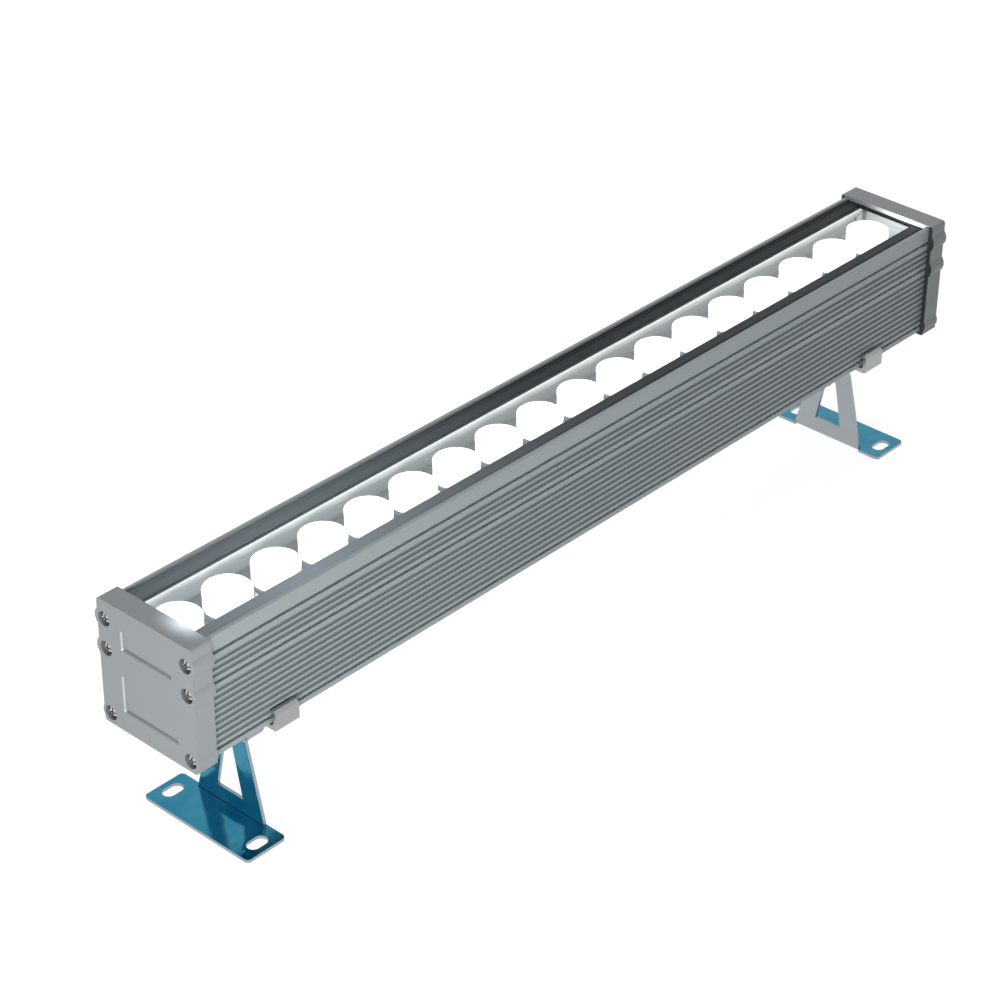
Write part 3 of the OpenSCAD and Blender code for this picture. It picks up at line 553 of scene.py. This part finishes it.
fin_face = coated("Fin faces", (0.355, 0.39, 0.4), 0.4, die_lines, 0.05)
fin_groove_shade = coated("Fin grooves painted shade", (0.225, 0.25, 0.255), 0.45, streaks(contrast=0.08), 0.05)
port_painted_light = coated("Screw ports painted light", (0.58, 0.63, 0.63), 0.5, streaks(contrast=0.08), 0.05)
paint_faces(housing, fin_face, lambda p, n: abs(p.y) > FIN_FRONT and p.z < FIN_TOP)
paint_faces(housing, fin_groove_shade, lambda p, n: FIN_BACK < abs(p.y) <= FIN_FRONT and abs(n.x) < RUNNING
            and p.z < FIN_TOP)
paint_faces(housing, port_painted_light, lambda p, n: PORT_BACK < abs(p.y) <= PORT_FRONT
            and abs(n.x) < RUNNING and min(abs(p.z - z) for z in PORT_HEIGHTS) < PORT_HALF_WIDTH)


# black sealant on the joints between caps and housing

joint_black = coated("Black sealant", (0.028, 0.033, 0.033), 0.5, grain(1200.0, 0.00004, 0.1))
paint_faces(cap_right, joint_black, lambda p, n: n.x < -FACING and p.x < FAR_END + JOINT_DEPTH)
paint_faces(cap_left, joint_black, lambda p, n: n.x > FACING and p.x > NEAR_END - JOINT_DEPTH)


# the lenses' light, painted as glow and lighter colour on the ledges, the recess walls, the far cap's
# lip and end wall and the end gasket

ledge_spill = [((0, 0, GLASS_LOW + 0.3), (EVERYWHERE, EVERYWHERE, 4.5), 0.9)]
recess_spill = [((NEAR_END, WINDOW_HALF_WIDTH, BOARD_TOP), (260, 60, 60), 0.15)]
lip_spill = [((FAR_END, -11, GLASS_TOP + 2), (8, 26, 8), 2.6)]
end_spill = [((FAR_END + 7.6, 0, GLASS_LOW), (20, 60, 30), 0.9)]
lit_ledge = coated("Lit ledge", (0.48, 0.505, 0.52), 0.5, streaks(contrast=0.04), glow=ledge_spill,
                   light=LEDGE_LIGHT)
lit_recess_wall = coated("Recess walls painted light", (0.44, 0.475, 0.48), 0.45, streaks(contrast=0.05), 0.05,
                     glow=recess_spill)
lit_lip = coated("Lit lip", (0.33, 0.345, 0.355), 0.4, cap_grain, glow=lip_spill, light=WARM_LIGHT)
lit_end = coated("Lit end wall", (0.5, 0.52, 0.52), 0.5, cap_grain, glow=end_spill, light=COOL_LIGHT)
paint_faces(housing, lit_ledge, lambda p, n: abs(abs(p.y) - LEDGE_Y) < 0.25 and abs(n.y) > 0.6
            and LEDGE_LOW < p.z < LEDGE_TOP)
paint_faces(housing, lit_recess_wall, lambda p, n: abs(abs(p.y) - RECESS_Y) < 0.4 and abs(n.y) > 0.6
            and RECESS_LOW < p.z < GLASS_LOW)
paint_faces(cap_right, lit_lip, lambda p, n: n.x < -FACING and p.z > LIP_LOW
            and abs(p.y) < LIP_HALF_WIDTH)
paint_faces(cap_right, lit_end, lambda p, n: n.x < -FACING and p.x > END_WALL_X
            and abs(p.y) < WINDOW_HALF_WIDTH and HOUSING_LOW < p.z < END_WALL_TOP)
paint_faces(gasket, lit_end, lambda p, n: abs(n.x) < RUNNING and abs(p.y) < WINDOW_HALF_WIDTH
            and p.z > GASKET_LOW)


# camera, light and floor

# the room's light by direction: overhead, then left front, right front, right back and left back
ROOM = [((0, 0, 1), 0.64), ((-1, -1, 0), 0.05), ((1, -1, 0), 0.03), ((1, 1, 0), 0.92), ((-1, 1, 0), 0.65)]

# the camera's aim and place, in metres, and its focal length in pixels of a picture 1000 wide
AZIMUTH = math.radians(47.709)
ELEVATION = math.radians(32.388)
ROLL = math.radians(0.443)
FOCAL_PX = 2937.48
PICTURE_PX = 1000
SENSOR_MM = 36.0
EYE = Vector((-0.86722, -0.74118, 0.77559))

# the floor's top, in metres, just under the feet, and half its width
FLOOR_TOP = -0.0002
FLOOR_HALF_WIDTH = 6.0


def make_camera():
    """The camera that sees the lamp as the photo does."""
    forward = Vector((math.sin(AZIMUTH) * math.cos(ELEVATION),
                      math.cos(AZIMUTH) * math.cos(ELEVATION), -math.sin(ELEVATION)))
    right = Vector((math.cos(AZIMUTH), -math.sin(AZIMUTH), 0.0))
    up = right.cross(forward)
    level = right * math.cos(ROLL) + up * math.sin(ROLL)
    upright = -right * math.sin(ROLL) + up * math.cos(ROLL)
    data = bpy.data.cameras.new("Camera")
    data.sensor_width = SENSOR_MM
    data.lens = FOCAL_PX * SENSOR_MM / PICTURE_PX
    data.clip_start = 0.01
    data.clip_end = 50.0
    camera = bpy.data.objects.new("Camera", data)
    axes = Matrix((level, upright, -forward)).transposed()
    camera.matrix_world = Matrix.Translation(EYE) @ axes.to_4x4()
    bpy.context.scene.collection.objects.link(camera)
    bpy.context.scene.camera = camera


def area_light(name, place, target, size, power, color):
    """A rectangular light that faces a target."""
    data = bpy.data.lights.new(name, "AREA")
    data.shape = "RECTANGLE"
    data.size, data.size_y = size
    data.energy = power
    data.color = color
    light = bpy.data.objects.new(name, data)
    way = Vector(target) - Vector(place)
    light.matrix_world = Matrix.Translation(place) @ way.to_track_quat("-Z", "Y").to_matrix().to_4x4()
    bpy.context.scene.collection.objects.link(light)


def make_world():
    """Soft light, a strength for each quarter of the room and overhead, before a plain white backdrop."""
    world = bpy.data.worlds.new("Studio")
    bpy.context.scene.world = world
    world.use_nodes = True
    world.node_tree.nodes.clear()
    t = Tree(world.node_tree)
    way = t.add("ShaderNodeTexCoord").outputs["Generated"]
    level = 0.0
    for aim, strength in ROOM:
        aim = Vector(aim).normalized()
        along = t.add("ShaderNodeVectorMath", {0: way, 1: aim}, operation="DOT_PRODUCT").outputs["Value"]
        ahead = t.math("MAXIMUM", along, 0.0)
        share = t.math("MULTIPLY", ahead, ahead)
        level = t.math("ADD", level, t.math("MULTIPLY", share, strength))
    room = t.add("ShaderNodeBackground", {"Color": (0.97, 0.99, 1.0, 1.0), "Strength": level})
    white = t.add("ShaderNodeBackground", {"Color": (1.0, 1.0, 1.0, 1.0), "Strength": 1.0})
    path = t.add("ShaderNodeLightPath").outputs
    shiny = t.math("MAXIMUM", path["Is Glossy Ray"], path["Is Transmission Ray"])
    seen = t.math("MAXIMUM", path["Is Camera Ray"], shiny)
    mixed = t.add("ShaderNodeMixShader", {0: seen, 1: room.outputs[0], 2: white.outputs[0]})
    t.put(t.add("ShaderNodeOutputWorld").inputs["Surface"], mixed.outputs[0])


def make_floor():
    """A pale floor that the camera and shiny pieces see as white, with the object's soft shadow."""
    mesh = bpy.data.meshes.new("Floor")
    bm = bmesh.new()
    bmesh.ops.create_grid(bm, x_segments=1, y_segments=1, size=FLOOR_HALF_WIDTH,
                          matrix=Matrix.Translation((0.0, 0.0, FLOOR_TOP)))
    bm.to_mesh(mesh)
    bm.free()
    floor = bpy.data.objects.new("Floor", mesh)
    bpy.context.scene.collection.objects.link(floor)
    material, t, surface = new_material("Pale floor")
    pale = t.add("ShaderNodeBsdfDiffuse", {"Color": (0.55, 0.55, 0.55, 1.0)})
    shaded = t.add("ShaderNodeBsdfDiffuse", {"Color": (0.35, 0.35, 0.35, 1.0)})
    glow = t.add("ShaderNodeEmission", {"Color": (1.0, 1.0, 1.0, 1.0), "Strength": 0.85})
    white = t.add("ShaderNodeAddShader", {0: shaded.outputs[0], 1: glow.outputs[0]})
    path = t.add("ShaderNodeLightPath").outputs
    shiny = t.math("MAXIMUM", path["Is Glossy Ray"], path["Is Transmission Ray"])
    seen = t.math("MAXIMUM", path["Is Camera Ray"], shiny)
    mixed = t.add("ShaderNodeMixShader", {0: seen, 1: pale.outputs[0], 2: white.outputs[0]})
    t.put(surface, mixed.outputs[0])
    mesh.materials.append(material)


make_camera()
make_world()
make_floor()
area_light("Key", place=(-0.75, -0.6, 0.15), target=(-0.1, 0, 0.08), size=(0.5, 0.3), power=5.8,
           color=(0.94, 0.985, 1.0))
bpy.context.scene.view_settings.view_transform = "Standard"
